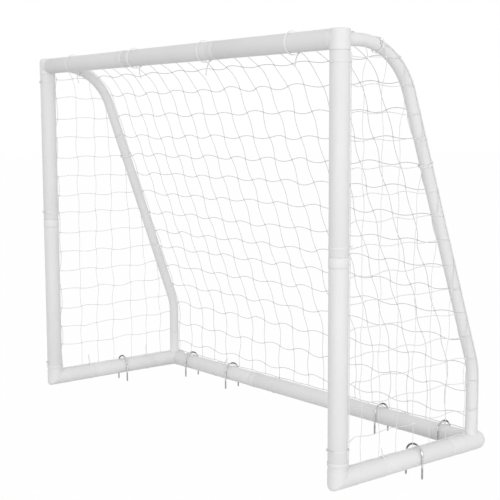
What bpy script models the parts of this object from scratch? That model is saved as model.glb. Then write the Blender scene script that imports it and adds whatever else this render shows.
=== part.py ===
"""Portable soccer goal: plug-together tube frame, netting tied on at its edges, and six U stakes.

Metres, +Z up. X runs along the crossbar, +Y from the mouth to the back.
The origin is under the middle of the goal, level with the tips of the stakes.
Inside the script every place is counted from the mouth's middle, at the underside of the ground bars.
"""
import math

import bmesh
import bpy
from mathutils import Matrix, Vector

# Frame, measured between tube axes; heights are above the underside of the ground bars.
POST_SPACING = 1.900
CROSSBAR_HEIGHT = 1.465
BASE_DEPTH = 0.680
TUBE_RADIUS = 0.034
TUBE_WALL = 0.0025
STAY_RADIUS = 0.022
STAY_WALL = 0.002
FIT_GAP = 0.0003

# Corner fittings: the body of each leg, from the corner's centre to the shoulder that a tube butts on.
CORNER_LEG = 0.036
TOP_STAY_LEG = 0.060
ELBOW_RISE = 0.048
ELBOW_LEG = 0.200
REAR_SIDE_LEG = 0.135
REAR_STUB = 0.072
STAY_RISER = 0.126
SPIGOT_LENGTH = 0.060
STAY_SPIGOT_LENGTH = 0.050
TOP_STAY_SPIGOT_LENGTH = 0.024
FITTING_WALL = 0.003
EDGE_CHAMFER = 0.010
CHAMFER_KNEE = 0.3
LEG_STEP = 0.0004
BORE_STEP = 0.0015

# Couplings between tubes, with a rib that shows between the two tube ends.
RIB_WIDTH = 0.034
RIB_RISE = 0.0006
MIDDLE_TUBE_LENGTH = 0.574

# Bent stays: a bend back from the top corner, a straight slope, and a bend down to the rear corner.
STAY_STRAIGHT = 0.080
STAY_BEND_RADIUS = 0.250
STAY_SLOPE = math.radians(70)
STAY_JOINTS = (0.546, 1.116)

# Netting.
NET_MESH = 0.0885
CORD_DIAMETER = 0.003
NET_SIDE_GAP = 0.004
CORD_JOIN_SHARE = 0.3
ROOF_LAST_ROW = 4
BACK_LAST_ROW = 15

# Cable ties.
TIE_WIDTH = 0.0048
TIE_THICKNESS = 0.0012
TIE_HEAD = (0.0078, 0.0060, 0.0055)
TIE_TAIL_WIDTH = 0.0040

# Each tie: its place along the tube, where its head sits, and where its tail points and how far.
BEHIND_BELOW = (0, 1, -1)
CROSSBAR_TIES = (
    ("crossbar_1", -0.722, (0.05, 0.5, -1), 0.030),
    ("crossbar_2", -0.233, (0, 0.25, -1), 0.072),
    ("crossbar_3", 0.233, (-0.1, 0.35, -1), 0.076),
    ("crossbar_4", 0.722, (-0.15, 0.1, -1), 0.060),
)
# Post ties are placed above the ground, above the post's joint, and below the crossbar's axis.
LOW_POST_TIES = (
    ("post_left_1", -1, 0.105, (0.9, 1, 0), (0.6, 1, 0.15), 0.022),
    ("post_right_1", 1, 0.134, (-1, 0.3, 0), (-1, 0.6, 0.2), 0.020),
)
MIDDLE_POST_TIES = (
    ("post_left_2", -1, 0.0505, (0.9, 1, 0), (1, 0.8, 0), 0.020),
    ("post_right_2", 1, 0.0475, (1, 0.2, 0), (0.3, 1, -0.1), 0.022),
)
HIGH_POST_TIES = (
    ("post_left_3", -1, -0.070, (-1, 0.2, 0), (-0.2, 1, -0.2), 0.018),
    ("post_right_3", 1, -0.072, (-0.5, 1, 0), (-0.3, 1, -0.3), 0.022),
)
# Side ties are placed behind the post's axis, or in front of the rear bar's.
FRONT_SIDE_TIES = (
    ("side_left_1", -1, 0.186, (0.3, 0, 1), (-0.25, 0, 1), 0.048),
    ("side_right_1", 1, 0.216, (0.2, 0, 1), (-0.5, 0, 1), 0.034),
)
REAR_SIDE_TIES = (
    ("side_left_2", -1, -0.172, (0.3, 0, 1), (-0.3, 0, 1), 0.055),
)
REAR_TIES = (
    ("rear_1", -0.845, (0, -1, 0.6), (0, -0.4, 1), 0.020),
    ("rear_2", -0.589, (0, 0.35, 1), (0, 0.1, 1), 0.034),
    ("rear_3", -0.161, (0, 1, 0.4), (0, 0.5, 1), 0.024),
    ("rear_4", 0.230, (0, 1, 0.4), (0, 0.5, 1), 0.024),
    ("rear_5", 0.600, (0, 1, 0.4), (0, 0.5, 1), 0.024),
)

# Stakes: round wire bent to a U that stands over a ground bar.
STAKE_WIRE = 0.007
STAKE_CLEARANCE = 0.0006
STAKE_DROP = 0.037
STAKE_TOP = 0.086
STAKE_POINT = 0.010
STAKE_POINT_SHARE = 0.35
SIDE_STAKE_Y = 0.372
REAR_STAKE_X = (-0.800, -0.479, 0.495, 0.819)

# Facets of the round pieces: multiples of four, turned half a facet, so that flats face the axes.
TUBE_SIDES = 16
STAY_SIDES = 12
BORE_SIDES = 12
STAY_BORE_SIDES = 8
TIE_SIDES = 12
BEND_STEPS = 8
FOOT_BEND_STEPS = 3
STAKE_ARC_STEPS = 10

# Values worked out from those above.
HALF_SPAN = POST_SPACING / 2
BAR_Z = TUBE_RADIUS
POST_BOTTOM_Z = BAR_Z + ELBOW_RISE
POST_TOP_Z = CROSSBAR_HEIGHT - CORNER_LEG
POST_JOINT_Z = (POST_BOTTOM_Z + POST_TOP_Z) / 2
CORD_OFFSET = TUBE_RADIUS + RIB_RISE + FIT_GAP + CORD_DIAMETER / 2
STAY_CORD_OFFSET = STAY_RADIUS + 2 * FIT_GAP + CORD_DIAMETER / 2
SPIGOT_RADIUS = TUBE_RADIUS - TUBE_WALL - FIT_GAP
STAY_BORE = (STAY_RADIUS - STAY_WALL) * math.cos(math.pi / STAY_SIDES)
STAY_SPIGOT_RADIUS = (STAY_BORE - FIT_GAP) * math.cos(math.pi / STAY_SIDES)
TUBE_CORNER = TUBE_RADIUS / math.cos(math.pi / TUBE_SIDES)
TIE_SHIFT = (CORD_OFFSET + CORD_DIAMETER / 2 + FIT_GAP - TUBE_CORNER) / 2
TIE_INNER = TUBE_CORNER + FIT_GAP + TIE_SHIFT
STAKE_HALF_WIDTH = TUBE_RADIUS + STAKE_CLEARANCE + STAKE_WIRE / 2
FRONT_REACH = TIE_INNER + TIE_THICKNESS - TIE_SHIFT * math.sqrt(0.5)
MOUTH_Y = -(BASE_DEPTH + REAR_STUB - FRONT_REACH) / 2

UP = Vector((0, 0, 1))
DOWN = Vector((0, 0, -1))
BACK = Vector((0, 1, 0))
FORWARD = Vector((0, -1, 0))
RIGHT = Vector((1, 0, 0))
LEFT = Vector((-1, 0, 0))


def clear_scene():
    """Remove whatever the file opens with."""
    for obj in list(bpy.data.objects):
        bpy.data.objects.remove(obj)


def make_collection(name):
    """A collection under the scene's own."""
    collection = bpy.data.collections.new(name)
    bpy.context.scene.collection.children.link(collection)
    return collection


def make_base():
    """The empty that every piece hangs from: the mouth's middle, at the underside of the ground bars."""
    base = bpy.data.objects.new("goal_base", None)
    base.location = (0, MOUTH_Y, STAKE_DROP)
    parts.objects.link(base)
    return base


def make_material(name, color, roughness, metallic=0.0):
    """A Principled material of one colour."""
    material = bpy.data.materials.new(name)
    material.use_nodes = True
    shader = material.node_tree.nodes["Principled BSDF"]
    shader.inputs["Base Color"].default_value = (*color, 1.0)
    shader.inputs["Roughness"].default_value = roughness
    shader.inputs["Metallic"].default_value = metallic
    return material


def add_object(name, data, material, collection):
    """Link an object that hangs from the base empty."""
    obj = bpy.data.objects.new(name, data)
    obj.parent = base
    if material is not None:
        data.materials.append(material)
    collection.objects.link(obj)
    return obj


def as_cutter(obj):
    """Show a helper as wire and keep it out of renders."""
    obj.hide_render = True
    obj.display_type = "WIRE"
    return obj


def aim(obj, start, direction, sides):
    """Place a turned piece with its axis along a direction, and its flats facing the other axes."""
    turn = UP.rotation_difference(direction).to_matrix().to_4x4()
    half_facet = Matrix.Rotation(math.pi / sides, 4, "Z")
    obj.matrix_local = Matrix.Translation(start) @ turn @ half_facet


def turned(name, profile, sides, material, collection, closed):
    """A turned shape: the profile holds apothem and height pairs, down its outer side."""
    mesh = bpy.data.meshes.new(name)
    corner = 1 / math.cos(math.pi / sides)
    points = [(radius * corner, 0, height) for radius, height in profile]
    edges = [(i, i + 1) for i in range(len(points) - 1)]
    if closed:
        edges.append((len(points) - 1, 0))
    mesh.from_pydata(points, edges, [])
    obj = add_object(name, mesh, material, collection)
    screw = obj.modifiers.new("turn", "SCREW")
    screw.steps = sides
    screw.render_steps = sides
    screw.use_merge_vertices = True
    screw.merge_threshold = 0.00001
    screw.use_smooth_shade = False
    return obj


def hollow_profile(outer, bore, bottom, top):
    """A closed profile: the outer outline from top to bottom, then back up the bore."""
    return outer + [(bore, bottom), (bore, top)]


def straight_tube(name, start, end, material):
    """A main tube between two shoulders, short of each by the fitting gap."""
    direction = (end - start).normalized()
    length = (end - start).length - 2 * FIT_GAP
    outer = [(TUBE_RADIUS, length), (TUBE_RADIUS, 0)]
    profile = hollow_profile(outer, TUBE_RADIUS - TUBE_WALL, 0, length)
    tube = turned(name, profile, TUBE_SIDES, material, parts, closed=True)
    aim(tube, start + direction * FIT_GAP, direction, TUBE_SIDES)
    return tube


def coupling(name, centre, direction, material):
    """A sleeve inside two tube ends, with the rib that they butt on."""
    half = RIB_WIDTH / 2
    reach = half + SPIGOT_LENGTH
    rib = TUBE_RADIUS + RIB_RISE
    outer = [(SPIGOT_RADIUS, reach), (SPIGOT_RADIUS, half), (rib, half), (rib, -half), (SPIGOT_RADIUS, -half),
             (SPIGOT_RADIUS, -reach)]
    profile = hollow_profile(outer, SPIGOT_RADIUS - FITTING_WALL, -reach, reach)
    sleeve = turned(name, profile, TUBE_SIDES, material, parts, closed=True)
    aim(sleeve, centre, direction, TUBE_SIDES)
    return sleeve


def leg_profile(radius, shoulder, spigot, spigot_length, foot):
    """A solid leg from behind the corner's centre to its spigot's end."""
    end = shoulder + spigot_length
    return [(0, end), (spigot, end), (spigot, shoulder), (radius, shoulder)] + foot + [(0, foot[-1][1])]


def add_boolean(obj, other, operation):
    """Join or cut with a helper."""
    modifier = obj.modifiers.new(operation.lower(), "BOOLEAN")
    modifier.operation = operation
    modifier.solver = "EXACT"
    modifier.object = other


def fitting(name, centre, legs, material):
    """A moulded corner: the first leg, the others joined to it, then a bore down each.

    Each leg is a dict: direction, sides and profile, then the bore's radius, sides, start and reach.
    """
    body = None
    for index, leg in enumerate(legs):
        target = parts if index == 0 else cutters
        part_name = name if index == 0 else "%s_leg_%d" % (name, index)
        piece = turned(part_name, leg["profile"], leg["sides"], material, target, closed=False)
        aim(piece, centre, leg["direction"], leg["sides"])
        if body is None:
            body = piece
        else:
            add_boolean(body, as_cutter(piece), "UNION")
    for index, leg in enumerate(legs):
        radius, top, bottom = leg["bore"], leg["reach"], leg["bore_start"]
        bore = [(0, top), (radius, top), (radius, bottom), (0, bottom)]
        cutter = turned("%s_bore_%d" % (name, index), bore, leg["bore_sides"], None, cutters, closed=False)
        aim(cutter, centre, leg["direction"], leg["bore_sides"])
        add_boolean(body, as_cutter(cutter), "DIFFERENCE")
    return body


def main_leg(direction, shoulder, end):
    """The leg that runs through the corner: it takes a main tube, and its other end is closed and rounded."""
    inset = EDGE_CHAMFER * CHAMFER_KNEE
    rim = [(TUBE_RADIUS, end + EDGE_CHAMFER), (TUBE_RADIUS - inset, end + inset)]
    rim.append((TUBE_RADIUS - EDGE_CHAMFER, end))
    return {"direction": direction, "sides": TUBE_SIDES,
            "profile": leg_profile(TUBE_RADIUS, shoulder, SPIGOT_RADIUS, SPIGOT_LENGTH, rim),
            "bore": SPIGOT_RADIUS - FITTING_WALL, "bore_sides": BORE_SIDES,
            "bore_start": end + FITTING_WALL, "reach": shoulder + SPIGOT_LENGTH + FIT_GAP}


def branch_leg(direction, shoulder):
    """A leg that takes a main tube and starts inside the main leg, a hair slimmer than it."""
    radius = TUBE_RADIUS - LEG_STEP
    return {"direction": direction, "sides": TUBE_SIDES,
            "profile": leg_profile(radius, shoulder, SPIGOT_RADIUS, SPIGOT_LENGTH, [(radius, 0.0)]),
            "bore": SPIGOT_RADIUS - FITTING_WALL - BORE_STEP, "bore_sides": BORE_SIDES,
            "bore_start": 0.0, "reach": shoulder + SPIGOT_LENGTH + FIT_GAP}


def stay_leg(direction, shoulder, spigot_length):
    """A leg that takes a stay."""
    foot = [(STAY_RADIUS, 0.0)]
    return {"direction": direction, "sides": STAY_SIDES,
            "profile": leg_profile(STAY_RADIUS, shoulder, STAY_SPIGOT_RADIUS, spigot_length, foot),
            "bore": STAY_SPIGOT_RADIUS - FITTING_WALL, "bore_sides": STAY_BORE_SIDES,
            "bore_start": 0.0, "reach": shoulder + spigot_length + FIT_GAP}


def top_corner(name, side, material):
    """Post, crossbar and stay meet; the post's leg runs up to a flat top."""
    inward = LEFT if side > 0 else RIGHT
    legs = [main_leg(DOWN, CORNER_LEG, -TUBE_RADIUS), branch_leg(inward, CORNER_LEG),
            stay_leg(BACK, TOP_STAY_LEG, TOP_STAY_SPIGOT_LENGTH)]
    return fitting(name, Vector((side * HALF_SPAN, 0, CROSSBAR_HEIGHT)), legs, material)


def front_elbow(name, side, material):
    """Post meets side bar; the post's leg runs down to a flat foot."""
    legs = [main_leg(UP, ELBOW_RISE, -TUBE_RADIUS), branch_leg(BACK, ELBOW_LEG)]
    return fitting(name, Vector((side * HALF_SPAN, 0, BAR_Z)), legs, material)


def rear_corner(name, side, material):
    """Side bar, rear bar and stay meet; the side leg runs on to a closed, rounded stub."""
    inward = LEFT if side > 0 else RIGHT
    legs = [main_leg(FORWARD, REAR_SIDE_LEG, -REAR_STUB), branch_leg(inward, CORNER_LEG),
            stay_leg(UP, STAY_RISER, STAY_SPIGOT_LENGTH)]
    return fitting(name, Vector((side * HALF_SPAN, BASE_DEPTH, BAR_Z)), legs, material)


class StayPath:
    """The line of a stay's axis in the y, z plane, or a line beside it on the goal's inner side."""

    def __init__(self, inset=0.0):
        self.inset = inset
        self.radius = STAY_BEND_RADIUS - inset
        self.start = Vector((0, CROSSBAR_HEIGHT - inset))
        self.centre = Vector((STAY_STRAIGHT, CROSSBAR_HEIGHT - STAY_BEND_RADIUS))
        self.slope = Vector((math.cos(STAY_SLOPE), -math.sin(STAY_SLOPE)))
        self.bend_end = self.centre + self.radius * Vector((math.sin(STAY_SLOPE), math.cos(STAY_SLOPE)))
        self.foot_turn = math.pi / 2 - STAY_SLOPE
        axis_end = self.centre + STAY_BEND_RADIUS * Vector((math.sin(STAY_SLOPE), math.cos(STAY_SLOPE)))
        corner = axis_end + self.slope * ((BASE_DEPTH - axis_end.x) / self.slope.x)
        foot_start = corner - self.slope * (STAY_BEND_RADIUS * math.tan(self.foot_turn / 2))
        self.straight = (foot_start - axis_end).length
        inward = Vector((-math.sin(STAY_SLOPE), -math.cos(STAY_SLOPE)))
        self.foot_centre = foot_start + STAY_BEND_RADIUS * inward
        self.lengths = (STAY_STRAIGHT, self.radius * STAY_SLOPE, self.straight, self.radius * self.foot_turn)

    def at(self, distance):
        """The point at a distance along the line, from the plane of the posts."""
        straight, bend, slope, foot = self.lengths
        if distance <= straight:
            return self.start + Vector((distance, 0))
        distance -= straight
        if distance <= bend:
            angle = distance / self.radius
            return self.centre + self.radius * Vector((math.sin(angle), math.cos(angle)))
        distance -= bend
        if distance <= slope:
            return self.bend_end + self.slope * distance
        distance -= slope
        if distance <= foot:
            angle = STAY_SLOPE + distance / self.radius
            return self.foot_centre + self.radius * Vector((math.sin(angle), math.cos(angle)))
        return self.foot_centre + Vector((self.radius, foot - distance))

    def distance_at_height(self, height):
        """How far along the line its last, upright stretch comes down to a height."""
        return sum(self.lengths) + self.foot_centre.y - height

    def breaks(self, start, end):
        """Distances from start to end, with the bends divided into steps."""
        marks = [start, end]
        first = self.lengths[0]
        last = first + self.lengths[1] + self.lengths[2]
        marks += [first + self.lengths[1] * i / BEND_STEPS for i in range(BEND_STEPS + 1)]
        marks += [last + self.lengths[3] * i / FOOT_BEND_STEPS for i in range(FOOT_BEND_STEPS + 1)]
        return sorted(mark for mark in marks if start <= mark <= end)


def bent_tube(name, side, start, end, material):
    """A hollow stay tube that follows the stay's line between two distances."""
    curve = bpy.data.curves.new(name, "CURVE")
    curve.dimensions = "3D"
    curve.bevel_depth = STAY_RADIUS
    curve.bevel_resolution = (STAY_SIDES - 4) // 2
    curve.render_resolution_u = 0
    path = StayPath()
    marks = path.breaks(start + FIT_GAP, end - FIT_GAP)
    spline = curve.splines.new("POLY")
    spline.points.add(len(marks) - 1)
    for point, mark in zip(spline.points, marks):
        y, z = path.at(mark)
        point.co = (0, y, z, 1)
    tube = add_object(name, curve, material, parts)
    tube.location = (side * HALF_SPAN, 0, 0)
    wall = tube.modifiers.new("wall", "SOLIDIFY")
    wall.thickness = STAY_WALL
    wall.offset = -1
    return tube


def middle_stay(name, side, material):
    """The straight tube of a stay, with both ends narrowed to plug into the bent tubes."""
    path = StayPath()
    first, last = STAY_JOINTS
    bottom, top = 0.0, last - first
    plug = STAY_SPIGOT_LENGTH
    barrel = STAY_RADIUS * math.cos(math.pi / STAY_SIDES)
    outer = [(STAY_SPIGOT_RADIUS, top + plug), (STAY_SPIGOT_RADIUS, top), (barrel, top), (barrel, bottom),
             (STAY_SPIGOT_RADIUS, bottom), (STAY_SPIGOT_RADIUS, bottom - plug)]
    narrow, wide = STAY_SPIGOT_RADIUS - STAY_WALL, barrel - STAY_WALL
    bore = [(narrow, bottom - plug), (narrow, bottom + STAY_WALL), (wide, bottom + 2 * STAY_WALL),
            (wide, top - 2 * STAY_WALL), (narrow, top - STAY_WALL), (narrow, top + plug)]
    profile = outer + bore
    tube = turned(name, profile, STAY_SIDES, material, parts, closed=True)
    y, z = path.at(first)
    aim(tube, Vector((side * HALF_SPAN, y, z)), Vector((0, path.slope.x, path.slope.y)), STAY_SIDES)
    return tube


def make_stay(label, side, material):
    """Upper bend, straight middle and lower bend, joined at two places along the slope."""
    foot = StayPath().distance_at_height(BAR_Z + STAY_RISER)
    bent_tube("stay_%s_upper" % label, side, TOP_STAY_LEG, STAY_JOINTS[0], material)
    middle_stay("stay_%s_middle" % label, side, material)
    bent_tube("stay_%s_lower" % label, side, STAY_JOINTS[1], foot, material)


def net_lines(low, high):
    """Cords from low to high, evenly spaced at about the mesh size."""
    count = round((high - low) / NET_MESH)
    return [low + (high - low) * i / count for i in range(count + 1)]


def clear_of_cords(place, lines, half_width):
    """The place nearest the one asked for where a piece of that width misses every cord."""
    room = half_width + CORD_DIAMETER / 2 + 2 * FIT_GAP
    nearest = min(lines, key=lambda line: abs(line - place))
    if abs(place - nearest) >= room:
        return place
    return nearest + math.copysign(room, place - nearest)


BACK_EDGE = HALF_SPAN - STAY_RADIUS - NET_SIDE_GAP - CORD_DIAMETER / 2
BACK_COLUMNS = net_lines(-BACK_EDGE, BACK_EDGE)
SIDE_BOTTOM = BAR_Z + CORD_OFFSET
SIDE_COLUMNS = net_lines(CORD_OFFSET, BASE_DEPTH - STAY_CORD_OFFSET)
SIDE_ROW_COUNT = int((CROSSBAR_HEIGHT - STAY_CORD_OFFSET - SIDE_BOTTOM) / NET_MESH) + 1
SIDE_ROWS = [SIDE_BOTTOM + NET_MESH * i for i in range(SIDE_ROW_COUNT)]


def cords_from_grid(name, mesh, material):
    """Turn the edges of a mesh into cords of one connected body."""
    net = add_object(name, mesh, material, parts)
    wire = net.modifiers.new("cords", "WIREFRAME")
    wire.thickness = CORD_DIAMETER
    wire.offset = 0
    wire.use_replace = True
    wire.use_boundary = True
    wire.use_even_offset = True
    wire.use_relative_offset = False
    return net


def side_outline():
    """Corners of a side panel in the y, z plane, and the stay's curve between them."""
    path = StayPath(STAY_CORD_OFFSET)
    front = SIDE_COLUMNS[0]
    end = path.distance_at_height(SIDE_BOTTOM)
    curve = [path.at(mark) for mark in path.breaks(front, end)]
    return [Vector((front, SIDE_BOTTOM))] + curve


def side_net(name, side, material):
    """A flat panel between post, side bar and stay."""
    outline = side_outline()
    mesh_data = bmesh.new()
    corners = [mesh_data.verts.new((0, point.x, point.y)) for point in outline]
    mesh_data.faces.new(corners)
    cuts = [((0, y, 0), (0, 1, 0)) for y in SIDE_COLUMNS[1:-1]]
    cuts += [((0, 0, z), (0, 0, 1)) for z in SIDE_ROWS[1:]]
    for place, normal in cuts:
        everything = mesh_data.verts[:] + mesh_data.edges[:] + mesh_data.faces[:]
        bmesh.ops.bisect_plane(mesh_data, geom=everything, plane_co=place, plane_no=normal, dist=0.00001)
    kept = [corners[0], corners[1], corners[-1]]
    doubles = bmesh.ops.find_doubles(mesh_data, verts=mesh_data.verts, keep_verts=kept,
                                     dist=NET_MESH * CORD_JOIN_SHARE)
    bmesh.ops.weld_verts(mesh_data, targetmap=doubles["targetmap"])
    mesh = bpy.data.meshes.new(name)
    mesh_data.to_mesh(mesh)
    mesh_data.free()
    net = cords_from_grid(name, mesh, material)
    net.location = (side * HALF_SPAN, 0, 0)
    return net


def back_profile():
    """Rows of the back netting in the y, z plane, from under the crossbar to the rear bar."""
    path = StayPath()
    slant = CORD_OFFSET * math.sqrt(0.5)
    first = Vector((slant, CROSSBAR_HEIGHT - slant))
    end = path.distance_at_height(BAR_Z + CORD_OFFSET)
    marks = net_lines(slant, end)
    return [first] + [path.at(mark) for mark in marks[1:]]


def back_net(name, rows, first, last, material):
    """One stretch of the back netting, short of its neighbours by half a cord at each shared row."""
    mesh_data = bmesh.new()
    grid = []
    half_join = (CORD_DIAMETER + FIT_GAP) / 2
    for index in range(first, last + 1):
        y, z = rows[index]
        if index == first and index > 0:
            step = (rows[index + 1] - rows[index]).normalized() * half_join
            y, z = y + step.x, z + step.y
        if index == last and index < len(rows) - 1:
            step = (rows[index - 1] - rows[index]).normalized() * half_join
            y, z = y + step.x, z + step.y
        grid.append([mesh_data.verts.new((x, y, z)) for x in BACK_COLUMNS])
    for upper, lower in zip(grid, grid[1:]):
        for column in range(len(BACK_COLUMNS) - 1):
            mesh_data.faces.new((upper[column], lower[column], lower[column + 1], upper[column + 1]))
    mesh = bpy.data.meshes.new(name)
    mesh_data.to_mesh(mesh)
    mesh_data.free()
    return cords_from_grid(name, mesh, material)


def make_nets(material):
    """Two flat sides, and the back in three stretches that bend at the stays' bends."""
    side_net("net_left", -1, material)
    side_net("net_right", 1, material)
    rows = back_profile()
    back_net("net_roof", rows, 0, ROOF_LAST_ROW, material)
    back_net("net_back", rows, ROOF_LAST_ROW, BACK_LAST_ROW, material)
    back_net("net_foot", rows, BACK_LAST_ROW, len(rows) - 1, material)


def box(name, size, matrix, material):
    """A helper box."""
    mesh_data = bmesh.new()
    bmesh.ops.create_cube(mesh_data, size=1.0, matrix=Matrix.Diagonal((*size, 1.0)))
    mesh = bpy.data.meshes.new(name)
    mesh_data.to_mesh(mesh)
    mesh_data.free()
    obj = as_cutter(add_object(name, mesh, material, cutters))
    obj.matrix_local = matrix
    return obj


def basis(x_axis, z_axis, origin):
    """A placement whose z runs along z_axis and whose x lies as near x_axis as it can."""
    z = z_axis.normalized()
    y = z.cross(x_axis).normalized()
    x = y.cross(z)
    turn = Matrix((x, y, z)).transposed().to_4x4()
    return Matrix.Translation(origin) @ turn


def cable_tie(label, centre, along, cord_side, head_side, tail_direction, tail_length, material):
    """A tie round a tube and the net's edge cord, with its head and the loose end of its tail."""
    name = "tie_" + label
    half = TIE_WIDTH / 2
    outer = [(TIE_INNER + TIE_THICKNESS, half), (TIE_INNER + TIE_THICKNESS, -half)]
    profile = hollow_profile(outer, TIE_INNER, -half, half)
    tie = turned(name, profile, TIE_SIDES, material, parts, closed=True)
    ring_centre = centre + cord_side.normalized() * TIE_SHIFT
    aim(tie, ring_centre, along, TIE_SIDES)
    outward = Vector(head_side).normalized()
    head_centre = ring_centre + outward * (TIE_INNER + TIE_THICKNESS / 2 + TIE_HEAD[2] / 2)
    head = box(name + "_head", TIE_HEAD, basis(along, outward, head_centre), material)
    add_boolean(tie, head, "UNION")
    direction = Vector(tail_direction).normalized()
    tail_centre = head_centre + direction * tail_length / 2
    tail_size = (TIE_TAIL_WIDTH, TIE_THICKNESS, tail_length)
    tail = box(name + "_tail", tail_size, basis(along, direction, tail_centre), material)
    add_boolean(tie, tail, "UNION")
    return tie


def post_ties(ties, datum, material):
    """Ties round the posts, each at its height above a datum."""
    for label, side, height, head_side, tail, length in ties:
        z = clear_of_cords(datum + height, SIDE_ROWS, TIE_HEAD[0] / 2)
        cable_tie(label, Vector((side * HALF_SPAN, 0, z)), UP, BACK, head_side, tail, length, material)


def side_ties(ties, datum, material):
    """Ties round the side bars, each at its distance behind a datum."""
    for label, side, distance, head_side, tail, length in ties:
        y = clear_of_cords(datum + distance, SIDE_COLUMNS, TIE_HEAD[0] / 2)
        cable_tie(label, Vector((side * HALF_SPAN, y, BAR_Z)), BACK, UP, head_side, tail, length, material)


def make_ties(material):
    """Ties along the crossbar, posts and ground bars; each sits between two cords of the net."""
    below = Vector(BEHIND_BELOW)
    for label, place, tail, length in CROSSBAR_TIES:
        x = clear_of_cords(place, BACK_COLUMNS, TIE_HEAD[0] / 2)
        cable_tie(label, Vector((x, 0, CROSSBAR_HEIGHT)), RIGHT, below, below, tail, length, material)
    post_ties(LOW_POST_TIES, 0.0, material)
    post_ties(MIDDLE_POST_TIES, POST_JOINT_Z, material)
    post_ties(HIGH_POST_TIES, CROSSBAR_HEIGHT, material)
    side_ties(FRONT_SIDE_TIES, 0.0, material)
    side_ties(REAR_SIDE_TIES, BASE_DEPTH, material)
    for label, place, head_side, tail, length in REAR_TIES:
        x = clear_of_cords(place, BACK_COLUMNS, TIE_HEAD[0] / 2)
        cable_tie(label, Vector((x, BASE_DEPTH, BAR_Z)), RIGHT, UP, head_side, tail, length, material)


def stake(name, place, turn, material):
    """A wire U that stands over a ground bar; its origin is on the line that it slides along."""
    curve = bpy.data.curves.new(name, "CURVE")
    curve.dimensions = "3D"
    curve.bevel_depth = STAKE_WIRE / 2
    curve.bevel_resolution = 1
    curve.use_fill_caps = True
    curve.render_resolution_u = 0
    shoulder = STAKE_DROP + STAKE_TOP - STAKE_WIRE / 2 - STAKE_HALF_WIDTH
    points = [(-STAKE_HALF_WIDTH, 0.0, STAKE_POINT_SHARE), (-STAKE_HALF_WIDTH, STAKE_POINT, 1.0)]
    for step in range(STAKE_ARC_STEPS + 1):
        angle = math.pi - math.pi * step / STAKE_ARC_STEPS
        height = shoulder + STAKE_HALF_WIDTH * math.sin(angle)
        points.append((STAKE_HALF_WIDTH * math.cos(angle), height, 1.0))
    points += [(STAKE_HALF_WIDTH, STAKE_POINT, 1.0), (STAKE_HALF_WIDTH, 0.0, STAKE_POINT_SHARE)]
    spline = curve.splines.new("POLY")
    spline.points.add(len(points) - 1)
    for point, (x, z, share) in zip(spline.points, points):
        point.co = (x, 0, z, 1)
        point.radius = share
    wire = add_object(name, curve, material, parts)
    wire.location = (place.x, place.y, -STAKE_DROP)
    wire.rotation_euler = (0, 0, turn)
    return wire


def make_stakes(material):
    """One stake over each side bar, and four over the rear bar."""
    for label, side in (("left", -1), ("right", 1)):
        y = clear_of_cords(SIDE_STAKE_Y, SIDE_COLUMNS, STAKE_WIRE / 2)
        stake("stake_" + label, Vector((side * HALF_SPAN, y)), 0.0, material)
    for number, place in enumerate(REAR_STAKE_X, start=1):
        x = clear_of_cords(place, BACK_COLUMNS, STAKE_WIRE / 2)
        stake("stake_rear_%d" % number, Vector((x, BASE_DEPTH)), math.pi / 2, material)


def three_tubes(label, start, end, tube_material, fitting_material):
    """A bar of three tubes and two couplings between two shoulders."""
    direction = (end - start).normalized()
    middle = (start + end) / 2
    joint = MIDDLE_TUBE_LENGTH / 2 + RIB_WIDTH / 2
    left, right = middle - direction * joint, middle + direction * joint
    half_rib = direction * RIB_WIDTH / 2
    straight_tube(label + "_tube_1", start, left - half_rib, tube_material)
    straight_tube(label + "_tube_2", left + half_rib, right - half_rib, tube_material)
    straight_tube(label + "_tube_3", right + half_rib, end, tube_material)
    coupling(label + "_coupling_1", left, direction, fitting_material)
    coupling(label + "_coupling_2", right, direction, fitting_material)


def make_frame(tube_material, fitting_material):
    """Posts, crossbar, ground bars, stays and the fittings that join them."""
    for label, side in (("left", -1), ("right", 1)):
        x = side * HALF_SPAN
        top_corner("top_corner_" + label, side, fitting_material)
        front_elbow("front_elbow_" + label, side, fitting_material)
        rear_corner("rear_corner_" + label, side, fitting_material)
        bottom = Vector((x, 0, POST_BOTTOM_Z))
        joint = Vector((x, 0, POST_JOINT_Z))
        top = Vector((x, 0, POST_TOP_Z))
        half_rib = UP * RIB_WIDTH / 2
        straight_tube("post_%s_lower" % label, bottom, joint - half_rib, tube_material)
        straight_tube("post_%s_upper" % label, joint + half_rib, top, tube_material)
        coupling("post_%s_coupling" % label, joint, UP, fitting_material)
        front = Vector((x, ELBOW_LEG, BAR_Z))
        rear = Vector((x, BASE_DEPTH - REAR_SIDE_LEG, BAR_Z))
        straight_tube("side_bar_" + label, front, rear, tube_material)
        make_stay(label, side, tube_material)
    reach = HALF_SPAN - CORNER_LEG
    three_tubes("crossbar", Vector((-reach, 0, CROSSBAR_HEIGHT)), Vector((reach, 0, CROSSBAR_HEIGHT)),
                tube_material, fitting_material)
    three_tubes("rear_bar", Vector((-reach, BASE_DEPTH, BAR_Z)), Vector((reach, BASE_DEPTH, BAR_Z)),
                tube_material, fitting_material)


clear_scene()
parts = make_collection("portable_soccer_goal")
cutters = make_collection("cutters")
base = make_base()
tube_plastic = make_material("tube_plastic", (0.86, 0.86, 0.86), 0.32)
fitting_plastic = make_material("fitting_plastic", (0.88, 0.88, 0.88), 0.38)
net_cord = make_material("net_cord", (0.90, 0.90, 0.90), 0.75)
tie_plastic = make_material("tie_plastic", (0.90, 0.90, 0.90), 0.40)
stake_steel = make_material("stake_steel", (0.42, 0.43, 0.44), 0.28, metallic=1.0)
make_frame(tube_plastic, fitting_plastic)
make_nets(net_cord)
make_ties(tie_plastic)
make_stakes(stake_steel)
bpy.context.view_layer.update()
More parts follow.
